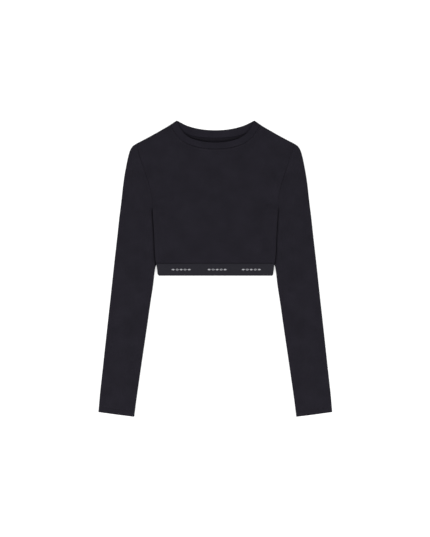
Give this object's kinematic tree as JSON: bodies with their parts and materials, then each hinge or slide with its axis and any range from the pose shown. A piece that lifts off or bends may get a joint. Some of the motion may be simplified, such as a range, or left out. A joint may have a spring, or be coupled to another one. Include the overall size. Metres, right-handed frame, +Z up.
{
  "type": "crop top",
  "caption": "Fitted crop top with long set-in sleeves, a narrow crew neckband and an elastic hem band, laid flat.",
  "frame": {"origin": "middle of the garment's outline as it lies, on the surface it lies on", "axes": "+X to the wearer's left, +Y from the hem to the neck, +Z up from the surface, out of the garment's front"},
  "size_m": [0.5366, 0.678, 0.0072],
  "materials": {
    "jersey": "matt black cotton and elastane jersey, fine vertical wales",
    "rib": "matt black rib knit, doubled",
    "elastic": "slightly smoother black knitted elastic with a small woven motif"
  },
  "bodies": {
    "root": {"back": "jersey", "front": "jersey", "sleeve_left": "jersey", "sleeve_right": "jersey", "neckband": "rib", "hem_band": "elastic"}
  },
  "joints": []
}
